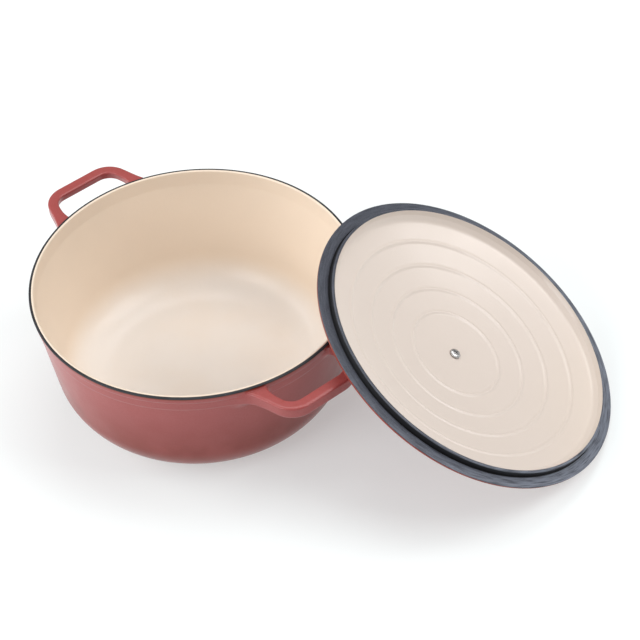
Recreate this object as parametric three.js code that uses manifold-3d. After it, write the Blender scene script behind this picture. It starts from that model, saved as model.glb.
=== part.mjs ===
// Enamelled cast iron dutch oven: a round pot with two loop handles, and its domed lid.
// The lid is off: it leans on the pot, knob side down, and shows its cream underside.
// Millimetres, +Z up. The origin is the centre of the pot's flat base, on the surface it
// stands on. The two loop handles lie along +X and -X.
import * as THREE from 'three';
import { mergeVertices } from 'three/addons/utils/BufferGeometryUtils.js';
import Module from 'manifold-3d';

const wasm = await Module();
wasm.setup();

// Enamel and clearances
const ENAMEL = 0.45;
const CLEAR = 0.15;
const UNDER_ENAMEL = ENAMEL + CLEAR;
const SEGMENTS = 44;

// Pot body
const POT_HEIGHT = 117.2;
const POT_RIM_RADIUS = 138.0;
const WALL_TAPER = 0.1375;
const HEEL_CENTRE_RADIUS = 84.3;
const HEEL_RADIUS = 44.0;
const BASE_EDGE_ANGLE = 1.31;
const WALL_THICKNESS = 4.1;
const RIM_BEAD = 0.6;
const RIM_BEAD_HEIGHT = 7.5;
const RIDGE_DEPTH = 15.5;
const RIDGE_STEP = 0.4;
const RIM_BARE_DEPTH = 2.6;
const RIM_BARE_WIDTH = 2.9;
const RIM_ROUND = 1.6;

// Loop handles
const HANDLE_CENTRE_REACH = 167.6;
const HANDLE_CORNER = 17.0;
const HANDLE_CORNER_HEIGHT = 18.4;
const HANDLE_ROOT = 119.0;
const BAR_WIDTH = 10.2;
const LEG_SLOPE = 0.3;
const LEG_CURVE = 0.0055;
const LEG_WIDTH = 9.6;
const FOOT_EXTRA = 28.0;
const HANDLE_TOP = POT_HEIGHT - 3.4;
const HANDLE_OUTER_DEPTH = 13.8;
const HANDLE_INNER_DEPTH = 7.4;
const HANDLE_FILLET = 1.7;

// Lid, drawn in its own frame: +Z points out through the knob, the seat lies at z = 0
const LID_RADIUS = 142.1;
const SEAT_INNER_RADIUS = 132.5;
const LIP_RADIUS = 132.0;
const LIP_HEIGHT = 5.7;
const LIP_INNER_RADIUS = 129.5;
const LIP_BEVEL = 0.3;
const DOME_FOOT_RADIUS = 124.6;
const DOME_DEPTH = 21.5;
const DOME_RADIUS = 415.0;
const CROWN_RADIUS = 440.0;
const FLANGE_EDGE = 1.4;
const LID_THICKNESS = 3.9;
const RING_RADII = [41.8, 63.4, 85.1, 106.8];
const RING_HEIGHT = 0.8;
const RING_HALF_WIDTH = 1.5;

// Knob and its screw
const KNOB_HEIGHT = 30.0;
const KNOB_RADIUS = 20.5;
const KNOB_STEM_RADIUS = 8.6;
const KNOB_FOOT_RADIUS = 11.0;
const SCREW_RADIUS = 2.5;
const SCREW_HEAD_RADIUS = 4.75;
const SCREW_HEAD_HEIGHT = 2.5;
const SCREW_LENGTH = 14.0;
const BORE_RADIUS = 2.9;

// Where the lid leans: centre of its seat circle, tilt and bearing of its underside
const LEAN_CENTRE = new THREE.Vector3(177.26, 145.69, 77.15);
const LEAN_TILT = 0.553;
const LEAN_BEARING = 0.7484;

// ---------------------------------------------------------------- mesh and solid helpers

function arc(cx, cz, radius, from, to, steps) {
  const points = [];
  for (let i = 0; i <= steps; i += 1) {
    const a = from + ((to - from) * i) / steps;
    points.push(new THREE.Vector2(cx + radius * Math.cos(a), cz + radius * Math.sin(a)));
  }
  return points;
}

function point(radius, z) {
  return new THREE.Vector2(radius, z);
}

function lathe(profile, segments = SEGMENTS) {
  const geometry = new THREE.LatheGeometry(profile, segments);
  geometry.rotateX(Math.PI / 2);
  return solid(geometry);
}

function signedVolume(positions, index) {
  const a = new THREE.Vector3();
  const b = new THREE.Vector3();
  const c = new THREE.Vector3();
  let volume = 0;
  for (let i = 0; i < index.length; i += 3) {
    a.fromArray(positions, index[i] * 3);
    b.fromArray(positions, index[i + 1] * 3);
    c.fromArray(positions, index[i + 2] * 3);
    volume += a.dot(b.cross(c)) / 6;
  }
  return volume;
}

// A closed three.js geometry as a boolean solid that faces outward.
function solid(geometry) {
  geometry.deleteAttribute('normal');
  geometry.deleteAttribute('uv');
  const merged = mergeVertices(geometry, 1e-4);
  const positions = Float32Array.from(merged.attributes.position.array);
  const kept = [];
  const source = merged.index.array;
  for (let i = 0; i < source.length; i += 3) {
    const [p, q, r] = [source[i], source[i + 1], source[i + 2]];
    if (p !== q && q !== r && r !== p) {
      kept.push(p, q, r);
    }
  }
  if (signedVolume(positions, kept) < 0) {
    for (let i = 0; i < kept.length; i += 3) {
      [kept[i + 1], kept[i + 2]] = [kept[i + 2], kept[i + 1]];
    }
  }
  const mesh = new wasm.Mesh({
    numProp: 3,
    vertProperties: positions,
    triVerts: Uint32Array.from(kept),
  });
  mesh.merge();
  return new wasm.Manifold(mesh);
}

function box(width, depth, height, x, y, z) {
  const geometry = new THREE.BoxGeometry(width, depth, height);
  geometry.translate(x, y, z);
  return solid(geometry);
}

function toGeometry(body) {
  const mesh = body.getMesh();
  const geometry = new THREE.BufferGeometry();
  geometry.setAttribute('position', new THREE.BufferAttribute(mesh.vertProperties, 3));
  geometry.setIndex(new THREE.BufferAttribute(mesh.triVerts, 1));
  return geometry;
}

const group = new THREE.Group();
group.name = 'dutch_oven';

function addNode(name, body, look, placement = null) {
  const geometry = toGeometry(body);
  if (placement) {
    geometry.applyMatrix4(placement);
  }
  geometry.computeVertexNormals();
  const material = new THREE.MeshStandardMaterial(look);
  const mesh = new THREE.Mesh(geometry, material);
  mesh.name = name;
  group.add(mesh);
}

const ROSE = { color: 0xa85c62, roughness: 0.18, metalness: 0.0 };
const CREAM = { color: 0xeadfce, roughness: 0.2, metalness: 0.0 };
const IRON = { color: 0x2b2d31, roughness: 0.7, metalness: 0.3 };
const LID_IRON = { color: 0x3d444d, roughness: 0.75, metalness: 0.3 };
const STEEL = { color: 0xc4c6c8, roughness: 0.25, metalness: 1.0 };
const BRIGHT_STEEL = { color: 0xd2d4d6, roughness: 0.2, metalness: 1.0 };

// ---------------------------------------------------------------- pot

function smooth(t) {
  const s = Math.min(1, Math.max(0, t));
  return s * s * (3 - 2 * s);
}

// Outside radius of the wall at a height above the heel: a draft, a parting step, a rim bead.
function wallRadius(z) {
  const down = POT_HEIGHT - z;
  const draft = POT_RIM_RADIUS - RIM_BEAD - RIDGE_STEP - WALL_TAPER * down;
  const ridge = RIDGE_STEP * smooth((RIDGE_DEPTH + 1.2 - down) / 1.2);
  const bead = RIM_BEAD * smooth((RIM_BEAD_HEIGHT - down) / 2.4);
  return draft + ridge + bead;
}

const WALL_ANGLE = -Math.atan(WALL_TAPER);
const WALL_FOOT = HEEL_RADIUS + HEEL_RADIUS * Math.sin(WALL_ANGLE);

// Wall heights that carry the draft, the parting step and the bead, lowest first.
function wallHeights(top) {
  const marks = [RIDGE_DEPTH + 1.2, RIDGE_DEPTH, RIM_BEAD_HEIGHT, RIM_BEAD_HEIGHT - 2.4];
  return marks.map((down) => POT_HEIGHT - down).concat([top]);
}

// The heel arc and the wall, moved inward by an offset, from the base edge to a top height.
function outsideRun(offset, top) {
  const reach = (wallRadius(WALL_FOOT) - HEEL_CENTRE_RADIUS) / Math.cos(WALL_ANGLE);
  const run = arc(0, HEEL_RADIUS, HEEL_RADIUS - offset, -BASE_EDGE_ANGLE, WALL_ANGLE, 6);
  for (const p of run) {
    p.x = HEEL_CENTRE_RADIUS + (p.x * reach) / HEEL_RADIUS;
  }
  for (const z of wallHeights(top)) {
    run.push(point(wallRadius(z) - offset, z));
  }
  return run;
}

function outsideSolid(offset, top, below) {
  const run = outsideRun(offset, top);
  const bottom = run[0].y - below;
  return lathe([point(0, bottom), point(run[0].x, bottom), ...run, point(0, top)]);
}

// The inside of the pot as a plug that reaches above the rim, grown outward by an offset.
function insideSolid(offset, top) {
  const depth = WALL_THICKNESS - offset;
  const floor = depth + 0.4;
  const heel = arc(HEEL_CENTRE_RADIUS - 4, HEEL_RADIUS, HEEL_RADIUS - floor, -Math.PI / 2, WALL_ANGLE, 6);
  const wallTop = POT_HEIGHT - 3;
  const rimInner = POT_RIM_RADIUS - WALL_THICKNESS + offset;
  return lathe([
    point(0, floor),
    ...heel,
    point(rimInner - 0.7, POT_HEIGHT - 14),
    point(rimInner - 0.1, wallTop),
    point(rimInner, top),
    point(0, top),
  ]);
}

// Plan of one loop handle: stations along its middle line, with the width at each.
function handleStations() {
  const cornerX = HANDLE_CENTRE_REACH - HANDLE_CORNER;
  const cornerEnd = Math.atan2(1, LEG_SLOPE);
  const legTop = new THREE.Vector2(
    cornerX + HANDLE_CORNER * Math.cos(cornerEnd),
    HANDLE_CORNER_HEIGHT + HANDLE_CORNER * Math.sin(cornerEnd),
  );
  const run = legTop.x - HANDLE_ROOT;
  const stations = [];
  const legSteps = 5;
  for (let i = 0; i < legSteps; i += 1) {
    const down = run * (1 - i / legSteps);
    const y = legTop.y + LEG_SLOPE * down - LEG_CURVE * down * down;
    const width = LEG_WIDTH + FOOT_EXTRA * (down / run) ** 3;
    stations.push({ x: legTop.x - down, y, nx: LEG_SLOPE - 2 * LEG_CURVE * down, ny: 1, width });
  }
  const cornerSteps = 5;
  for (let i = 0; i <= cornerSteps; i += 1) {
    const a = cornerEnd * (1 - i / cornerSteps);
    const x = cornerX + HANDLE_CORNER * Math.cos(a);
    const y = HANDLE_CORNER_HEIGHT + HANDLE_CORNER * Math.sin(a);
    const width = LEG_WIDTH + (BAR_WIDTH - LEG_WIDTH) * (i / cornerSteps);
    stations.push({ x, y, nx: Math.cos(a), ny: Math.sin(a), width });
  }
  const mirrored = stations.map((s) => ({ ...s, y: -s.y, ny: -s.ny })).reverse();
  return stations.concat(mirrored);
}

// Section of the handle across its middle line: deep outer side, shallow inner side.
function handleSection(width, offset) {
  const half = width / 2 - offset;
  const top = -offset;
  const outerBottom = -HANDLE_OUTER_DEPTH + offset;
  const innerBottom = -HANDLE_INNER_DEPTH + offset;
  const f = HANDLE_FILLET - offset * 0.5;
  return [
    [half - f, top],
    [half, top - f],
    [half - 0.5, outerBottom + f],
    [half - 0.5 - f, outerBottom],
    [half - 0.5 - 2.1 * f, outerBottom + 0.4 * f],
    [-half + 2.2, innerBottom],
    [-half + 0.7, innerBottom + f],
    [-half, top - f * 0.6],
    [-half + f * 0.6, top],
  ];
}

function handleSolid(side, offset) {
  const stations = handleStations();
  const vertices = [];
  const index = [];
  for (const s of stations) {
    const length = Math.hypot(s.nx, s.ny);
    for (const [across, up] of handleSection(s.width, offset)) {
      const x = s.x + (across * s.nx) / length;
      const y = s.y + (across * s.ny) / length;
      vertices.push(side * x, side * y, HANDLE_TOP + up);
    }
  }
  const around = handleSection(BAR_WIDTH, offset).length;
  for (let i = 0; i + 1 < stations.length; i += 1) {
    for (let j = 0; j < around; j += 1) {
      const k = (j + 1) % around;
      const a = i * around + j;
      const b = i * around + k;
      const c = (i + 1) * around + j;
      const d = (i + 1) * around + k;
      index.push(a, b, d, a, d, c);
    }
  }
  const last = (stations.length - 1) * around;
  for (let j = 1; j + 1 < around; j += 1) {
    index.push(0, j + 1, j);
    index.push(last, last + j, last + j + 1);
  }
  const geometry = new THREE.BufferGeometry();
  geometry.setAttribute('position', new THREE.Float32BufferAttribute(vertices, 3));
  geometry.setAttribute('normal', new THREE.Float32BufferAttribute(vertices.slice(), 3));
  geometry.setAttribute('uv', new THREE.Float32BufferAttribute(vertices.slice(), 3));
  geometry.setIndex(index);
  return solid(geometry);
}

function withHandles(body, offset) {
  return body.add(handleSolid(1, offset)).add(handleSolid(-1, offset));
}

function makePotCasting() {
  const rimEdge = POT_HEIGHT - RIM_BARE_DEPTH + CLEAR;
  const outer = outsideRun(UNDER_ENAMEL, rimEdge);
  const pad = arc(HEEL_CENTRE_RADIUS, HEEL_RADIUS, HEEL_RADIUS, -Math.PI / 2, -BASE_EDGE_ANGLE - 0.03, 1);
  const full = [
    point(0, 0),
    ...pad,
    ...outer,
    point(wallRadius(rimEdge), rimEdge),
    point(POT_RIM_RADIUS, POT_HEIGHT - RIM_ROUND),
    point(POT_RIM_RADIUS - RIM_ROUND * 0.3, POT_HEIGHT - RIM_ROUND * 0.3),
    point(POT_RIM_RADIUS - RIM_ROUND, POT_HEIGHT),
    point(POT_RIM_RADIUS - RIM_BARE_WIDTH, POT_HEIGHT),
    point(POT_RIM_RADIUS - RIM_BARE_WIDTH, POT_HEIGHT - UNDER_ENAMEL),
    point(0, POT_HEIGHT - UNDER_ENAMEL),
  ];
  const body = withHandles(lathe(full), UNDER_ENAMEL);
  return body.subtract(insideSolid(UNDER_ENAMEL, POT_HEIGHT + 5));
}

function makePotOuterEnamel() {
  const top = POT_HEIGHT - RIM_BARE_DEPTH;
  const skin = withHandles(outsideSolid(0, top, 0), 0);
  const core = withHandles(outsideSolid(ENAMEL, top + 1, 2), ENAMEL);
  return skin.subtract(core);
}

function makePotInnerEnamel() {
  const grown = insideSolid(ENAMEL, POT_HEIGHT);
  const lip = lathe([
    point(POT_RIM_RADIUS - 12, POT_HEIGHT - ENAMEL),
    point(POT_RIM_RADIUS - RIM_BARE_WIDTH - CLEAR, POT_HEIGHT - ENAMEL),
    point(POT_RIM_RADIUS - RIM_BARE_WIDTH - CLEAR, POT_HEIGHT),
    point(POT_RIM_RADIUS - 12, POT_HEIGHT),
    point(POT_RIM_RADIUS - 12, POT_HEIGHT - ENAMEL),
  ]);
  return grown.add(lip).subtract(insideSolid(0, POT_HEIGHT + 5));
}

addNode('pot_casting', makePotCasting(), IRON);
addNode('pot_outer_enamel', makePotOuterEnamel(), ROSE);
addNode('pot_inner_enamel', makePotInnerEnamel(), CREAM);

// ---------------------------------------------------------------- lid, in its own frame

// Height of the underside dome and of the outside crown at a radius.
function domeZ(radius) {
  return DOME_DEPTH - (radius * radius) / (2 * DOME_RADIUS);
}

function crownZ(radius) {
  return DOME_DEPTH + LID_THICKNESS - (radius * radius) / (2 * CROWN_RADIUS);
}

// Radii at which a dome surface is drawn, inner one first.
function domeRadii(inner, outer, steps) {
  const radii = [];
  for (let i = 0; i <= steps; i += 1) {
    radii.push(inner + ((outer - inner) * i) / steps);
  }
  return radii;
}

// The underside with its raised rings, moved up into the lid by an offset.
function undersideRun(offset, inner, withRings) {
  const run = [];
  if (withRings) {
    run.push(point(inner, domeZ(inner)));
    for (const radius of RING_RADII) {
      const [low, high] = [radius - RING_HALF_WIDTH, radius + RING_HALF_WIDTH];
      run.push(point(low, domeZ(low)));
      run.push(point(radius - 0.5, domeZ(radius) - RING_HEIGHT));
      run.push(point(radius + 0.5, domeZ(radius) - RING_HEIGHT));
      run.push(point(high, domeZ(high)));
    }
    run.push(point(DOME_FOOT_RADIUS, domeZ(DOME_FOOT_RADIUS)));
  } else {
    for (const radius of domeRadii(inner, DOME_FOOT_RADIUS, 5)) {
      run.push(point(radius, domeZ(radius) + offset));
    }
  }
  run.push(point(DOME_FOOT_RADIUS + 2.6 + offset * 0.7, domeZ(DOME_FOOT_RADIUS) - 1.7 + offset * 0.7));
  run.push(point(LIP_INNER_RADIUS - LIP_BEVEL + offset, -LIP_HEIGHT + 1.2));
  return run;
}

function makeLidInnerEnamel() {
  const front = undersideRun(0, BORE_RADIUS + 0.1, true);
  const back = undersideRun(ENAMEL, BORE_RADIUS + 0.1, false).reverse();
  const edge = [
    point(LIP_INNER_RADIUS, -LIP_HEIGHT),
    point(LIP_INNER_RADIUS - LIP_BEVEL + ENAMEL, -LIP_HEIGHT),
  ];
  return lathe([...front, ...edge, ...back, front[0].clone()]);
}

function makeLidCasting() {
  const under = undersideRun(UNDER_ENAMEL, BORE_RADIUS, false);
  const crown = domeRadii(BORE_RADIUS, LID_RADIUS - 4, 6)
    .map((radius) => point(radius, crownZ(radius) - UNDER_ENAMEL))
    .reverse();
  const rim = [
    point(LIP_INNER_RADIUS - LIP_BEVEL + UNDER_ENAMEL, -LIP_HEIGHT),
    point(LIP_RADIUS - 0.9, -LIP_HEIGHT),
    point(LIP_RADIUS - 0.2, -LIP_HEIGHT + 0.7),
    point(LIP_RADIUS, 0.4),
    point(SEAT_INNER_RADIUS, 0.4),
    point(SEAT_INNER_RADIUS + 0.3, 0),
    point(LID_RADIUS - 0.9, 0),
    point(LID_RADIUS, 0.6),
    point(LID_RADIUS, FLANGE_EDGE),
    point(LID_RADIUS - 0.75, FLANGE_EDGE),
    point(LID_RADIUS - 0.75, FLANGE_EDGE + 0.9),
  ];
  return lathe([...under, ...rim, ...crown, under[0].clone()]);
}

function makeLidOuterEnamel() {
  const radii = domeRadii(BORE_RADIUS, LID_RADIUS - 4, 6);
  const outside = radii.map((radius) => point(radius, crownZ(radius)));
  const inside = radii.map((radius) => point(radius, crownZ(radius) - ENAMEL)).reverse();
  const edge = [
    point(LID_RADIUS - 1.1, 3.2),
    point(LID_RADIUS - 0.1, FLANGE_EDGE + 0.8),
    point(LID_RADIUS - 0.1, FLANGE_EDGE + CLEAR),
    point(LID_RADIUS - 0.1 - ENAMEL, FLANGE_EDGE + CLEAR),
    point(LID_RADIUS - 0.1 - ENAMEL, FLANGE_EDGE + 0.95),
  ];
  return lathe([...outside, ...edge, ...inside, outside[0].clone()]);
}

function makeKnob() {
  const foot = crownZ(0) + 0.25;
  const top = foot + KNOB_HEIGHT;
  const bore = SCREW_RADIUS + 0.3;
  const boreTop = foot + 12.5;
  const capEdge = top - 8.5;
  const knob = [
    point(0, boreTop),
    point(bore, boreTop),
    point(bore, foot),
    point(KNOB_FOOT_RADIUS - 0.6, foot),
    point(KNOB_FOOT_RADIUS, foot + 0.8),
    point(KNOB_FOOT_RADIUS - 0.6, foot + 2.2),
    ...arc(KNOB_STEM_RADIUS + 6.0, foot + 8.5, 6.0, Math.PI * 1.12, Math.PI * 0.72, 4),
    point(KNOB_RADIUS - 2.4, capEdge - 2.6),
    point(KNOB_RADIUS - 0.4, capEdge - 0.6),
    point(KNOB_RADIUS, capEdge + 1.4),
    point(KNOB_RADIUS - 0.9, capEdge + 4.0),
    point(KNOB_RADIUS - 4.2, capEdge + 6.6),
    point(KNOB_RADIUS - 10.5, capEdge + 8.1),
    point(0, top),
  ];
  return lathe(knob, 28);
}

function makeKnobScrew() {
  const seat = DOME_DEPTH - 0.3;
  const headFace = seat - SCREW_HEAD_HEIGHT;
  const screw = lathe([
    point(0, headFace),
    point(SCREW_HEAD_RADIUS * 0.55, headFace + 0.1),
    point(SCREW_HEAD_RADIUS * 0.9, headFace + 0.8),
    point(SCREW_HEAD_RADIUS, headFace + 1.7),
    point(SCREW_HEAD_RADIUS, seat),
    point(SCREW_RADIUS, seat),
    point(SCREW_RADIUS, seat + SCREW_LENGTH - 0.6),
    point(SCREW_RADIUS - 0.6, seat + SCREW_LENGTH),
    point(0, seat + SCREW_LENGTH),
  ], 24);
  const slot = box(5.4, 1.1, 2.6, 0, 0, headFace);
  const cross = box(1.1, 5.4, 2.6, 0, 0, headFace);
  return screw.subtract(slot.add(cross));
}

// The lid's own frame set down where it leans: its +X runs downhill, its +Z out through the knob.
function leanPlacement() {
  const [sinT, cosT] = [Math.sin(LEAN_TILT), Math.cos(LEAN_TILT)];
  const [sinB, cosB] = [Math.sin(LEAN_BEARING), Math.cos(LEAN_BEARING)];
  const downhill = new THREE.Vector3(cosT * cosB, cosT * sinB, -sinT);
  const outside = new THREE.Vector3(-sinT * cosB, -sinT * sinB, -cosT);
  const sideways = outside.clone().cross(downhill);
  const placement = new THREE.Matrix4().makeBasis(downhill, sideways, outside);
  return placement.setPosition(LEAN_CENTRE);
}

const lean = leanPlacement();
addNode('lid_casting', makeLidCasting(), LID_IRON, lean);
addNode('lid_outer_enamel', makeLidOuterEnamel(), ROSE, lean);
addNode('lid_inner_enamel', makeLidInnerEnamel(), CREAM, lean);
addNode('knob', makeKnob(), STEEL, lean);
addNode('knob_screw', makeKnobScrew(), BRIGHT_STEEL, lean);

export default group;
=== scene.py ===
"""Enamelled cast iron dutch oven, with its lid leaning on the rim.

The pot, its lid, the knob and the knob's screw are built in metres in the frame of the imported
model. Each piece stands for one node of that model and moves with the same body.
"""

import logging
import math
from dataclasses import dataclass, field
from enum import Enum
from typing import Any, Optional, Sequence, Union

import bmesh
import bpy
from mathutils import Matrix, Vector
from mathutils.bvhtree import BVHTree


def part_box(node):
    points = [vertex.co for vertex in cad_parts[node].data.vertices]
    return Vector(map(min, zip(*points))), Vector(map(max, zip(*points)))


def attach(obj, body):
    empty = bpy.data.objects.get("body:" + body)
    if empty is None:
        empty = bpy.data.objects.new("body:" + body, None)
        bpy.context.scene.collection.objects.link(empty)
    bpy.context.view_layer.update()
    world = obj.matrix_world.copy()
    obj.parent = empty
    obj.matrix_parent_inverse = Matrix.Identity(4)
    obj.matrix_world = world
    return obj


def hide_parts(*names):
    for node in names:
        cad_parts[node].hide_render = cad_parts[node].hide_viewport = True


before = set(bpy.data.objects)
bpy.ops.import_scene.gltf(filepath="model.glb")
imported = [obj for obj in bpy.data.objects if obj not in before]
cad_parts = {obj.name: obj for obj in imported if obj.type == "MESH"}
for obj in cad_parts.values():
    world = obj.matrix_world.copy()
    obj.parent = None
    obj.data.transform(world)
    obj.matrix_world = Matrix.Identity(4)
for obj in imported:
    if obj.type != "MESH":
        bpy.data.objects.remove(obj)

log = logging.getLogger("dutch_oven")

Value = Union["Wire", bpy.types.NodeSocket, float, int, Sequence[float], None]
Colour = tuple[float, float, float, float]
WHITE: Colour = (1.0, 1.0, 1.0, 1.0)


# ------------------------------------------------------------------------------ node graphs


class Wire:
    """A socket inside an expression. Each operator adds one Math node to the graph."""

    def __init__(self, graph: "Graph", socket: bpy.types.NodeSocket) -> None:
        """Wraps an output socket of a graph.

        Args:
            graph: The graph that the socket belongs to.
            socket: The output socket that carries the value.
        """
        self.graph = graph
        self.socket = socket

    def __add__(self, other: Value) -> "Wire":
        """Sum of two values."""
        return self.graph.math("ADD", self, other)

    def __radd__(self, other: Value) -> "Wire":
        """Sum with a plain number first."""
        return self.graph.math("ADD", other, self)

    def __sub__(self, other: Value) -> "Wire":
        """Difference of two values."""
        return self.graph.math("SUBTRACT", self, other)

    def __rsub__(self, other: Value) -> "Wire":
        """Difference with a plain number first."""
        return self.graph.math("SUBTRACT", other, self)

    def __mul__(self, other: Value) -> "Wire":
        """Product of two values."""
        return self.graph.math("MULTIPLY", self, other)

    def __rmul__(self, other: Value) -> "Wire":
        """Product with a plain number first."""
        return self.graph.math("MULTIPLY", other, self)

    def __truediv__(self, other: Value) -> "Wire":
        """Quotient of two values."""
        return self.graph.math("DIVIDE", self, other)

    def clamped(self) -> "Wire":
        """The value held between 0 and 1."""
        return self.graph.math("ADD", self, 0.0, clamp=True)

    def floor(self) -> "Wire":
        """The whole number below the value."""
        return self.graph.math("FLOOR", self)


class Graph:
    """Adds nodes to a shader or geometry tree."""

    def __init__(self, tree: bpy.types.NodeTree) -> None:
        """Starts an empty graph.

        Args:
            tree: The node tree to fill.
        """
        self.tree = tree

    def node(
        self,
        kind: str,
        settings: Optional[dict[str, Any]] = None,
        inputs: Optional[dict[Union[str, int], Value]] = None,
    ) -> bpy.types.Node:
        """Adds one node of any type.

        Args:
            kind: The node's type name.
            settings: Properties of the node, set first.
            inputs: Values or links, by the socket's name or number.

        Returns:
            The new node.
        """
        made = self.tree.nodes.new(kind)
        for name, value in (settings or {}).items():
            setattr(made, name, value)
        for key, value in (inputs or {}).items():
            self.feed(made.inputs[key], value)
        return made

    def out(self, node: bpy.types.Node, output: Union[str, int] = 0) -> Wire:
        """Wraps one output of a node as a wire."""
        return Wire(self, node.outputs[output])

    def feed(self, socket: bpy.types.NodeSocket, value: Value) -> None:
        """Links a wire to a socket, or sets the socket's own value.

        Args:
            socket: The input socket.
            value: A wire, an output socket, or a plain value.
        """
        if isinstance(value, Wire):
            self.tree.links.new(value.socket, socket)
        elif isinstance(value, bpy.types.NodeSocket):
            self.tree.links.new(value, socket)
        elif value is not None:
            socket.default_value = value

    def math(self, operation: str, *values: Value, clamp: bool = False) -> Wire:
        """Adds a Math node and returns its result."""
        settings = {"operation": operation, "use_clamp": clamp}
        return self.out(self.node("ShaderNodeMath", settings, dict(enumerate(values))))

    def noise(self, place: Value, scale: float, detail: float = 2.0, rough: float = 0.5) -> Wire:
        """Adds a Noise texture.

        Args:
            place: The coordinates that it reads.
            scale: How many features there are in a metre.
            detail: The number of finer octaves.
            rough: How strong each finer octave is.

        Returns:
            The noise, about 0.3 to 0.7.
        """
        inputs = {"Vector": place, "Scale": scale, "Detail": detail, "Roughness": rough}
        return self.out(self.node("ShaderNodeTexNoise", None, inputs), "Fac")

    def ramp(self, factor: Value, low: float, high: float) -> Wire:
        """Maps low..high smoothly onto 0..1.

        Args:
            factor: The value to map.
            low: The value that gives 0.
            high: The value that gives 1.

        Returns:
            The mapped value, held between 0 and 1.
        """
        settings = {"interpolation_type": "SMOOTHSTEP", "clamp": True}
        inputs = {"Value": factor, "From Min": low, "From Max": high}
        return self.out(self.node("ShaderNodeMapRange", settings, inputs))

    def mix(self, factor: Value, first: Value, second: Value) -> Wire:
        """Mixes two colours.

        Args:
            factor: How much of the second colour there is.
            first: The colour at 0.
            second: The colour at 1.

        Returns:
            The mixed colour.
        """
        inputs = {0: factor, 6: first, 7: second}
        return self.out(self.node("ShaderNodeMix", {"data_type": "RGBA"}, inputs), 2)


# ------------------------------------------------------------------------------ finishes


class Surface:
    """A new material with its Principled shader, ready for one finish to fill."""

    def __init__(self, name: str) -> None:
        """Makes the material and its coordinates.

        Args:
            name: The material's name.
        """
        self.material = bpy.data.materials.new(name)
        self.material.use_nodes = True
        self.material.node_tree.nodes.clear()
        self.graph = Graph(self.material.node_tree)
        self.shader = self.graph.node("ShaderNodeBsdfPrincipled")
        end = self.graph.node("ShaderNodeOutputMaterial")
        self.graph.feed(end.inputs["Surface"], self.shader.outputs["BSDF"])
        self.place = self.graph.out(self.graph.node("ShaderNodeTexCoord"), "Object")

    def set(self, **sockets: Value) -> None:
        """Sets or links sockets of the shader, named with underscores for spaces."""
        for name, value in sockets.items():
            self.graph.feed(self.shader.inputs[name.replace("_", " ")], value)

    def height(self, placement: Optional[Matrix] = None) -> Wire:
        """Height in metres above the ground, or along the axis of a piece's own frame."""
        return self.split(self.turned(placement))[2]

    def split(self, place: Wire) -> tuple[Wire, Wire, Wire]:
        """The three parts of a point."""
        node = self.graph.node("ShaderNodeSeparateXYZ", None, {0: place})
        return self.graph.out(node, 0), self.graph.out(node, 1), self.graph.out(node, 2)

    def polar(self, placement: Matrix) -> tuple[Wire, Wire, Wire]:
        """Turned coordinates about a piece's own axis.

        Args:
            placement: Where the piece's own frame stands.

        Returns:
            The radius, the angle and the height.
        """
        across, along, up = self.split(self.turned(placement))
        radius = self.graph.math("SQRT", across * across + along * along)
        return radius, self.graph.math("ARCTAN2", along, across), up

    def turned(self, placement: Optional[Matrix]) -> Wire:
        """Coordinates of a piece's own frame.

        Args:
            placement: Where the piece's own frame stands. None is the ground's frame.

        Returns:
            The coordinates, with the piece's axis along Z.
        """
        if placement is None:
            return self.place
        back = placement.inverted()
        inputs = {
            "Vector": self.place,
            "Location": back.to_translation(),
            "Rotation": back.to_euler(),
        }
        return self.graph.out(self.graph.node("ShaderNodeMapping", None, inputs))

    def bump(self, layers: Sequence[tuple[Wire, float]]) -> None:
        """Stacks bump layers and feeds the shader's normal.

        Args:
            layers: Each height pattern, and its full depth in metres.
        """
        normal: Value = None
        for pattern, depth in layers:
            inputs = {"Strength": 1.0, "Distance": depth, "Height": pattern, "Normal": normal}
            normal = self.graph.out(self.graph.node("ShaderNodeBump", None, inputs))
        self.set(Normal=normal)


@dataclass(frozen=True)
class Pattern:
    """A cloudy pattern of a finish.

    It has so many features in a metre and so many finer octaves. A mask of it runs between two
    levels of the noise. Its strength is a share, or a depth in metres.
    """

    scale: float
    detail: float = 2.0
    rough: float = 0.5
    low: float = 0.0
    high: float = 1.0
    strength: float = 1.0

    def noise(self, surface: Surface) -> Wire:
        """The plain noise over a surface, about 0.3 to 0.7."""
        return surface.graph.noise(surface.place, self.scale, self.detail, self.rough)

    def mask(self, surface: Surface) -> Wire:
        """The part of the noise between the two levels, from 0 to the strength."""
        return surface.graph.ramp(self.noise(surface), self.low, self.high) * self.strength

    def layer(self, surface: Surface) -> tuple[Wire, float]:
        """The noise and its strength, as a bump layer."""
        return self.noise(surface), self.strength


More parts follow.
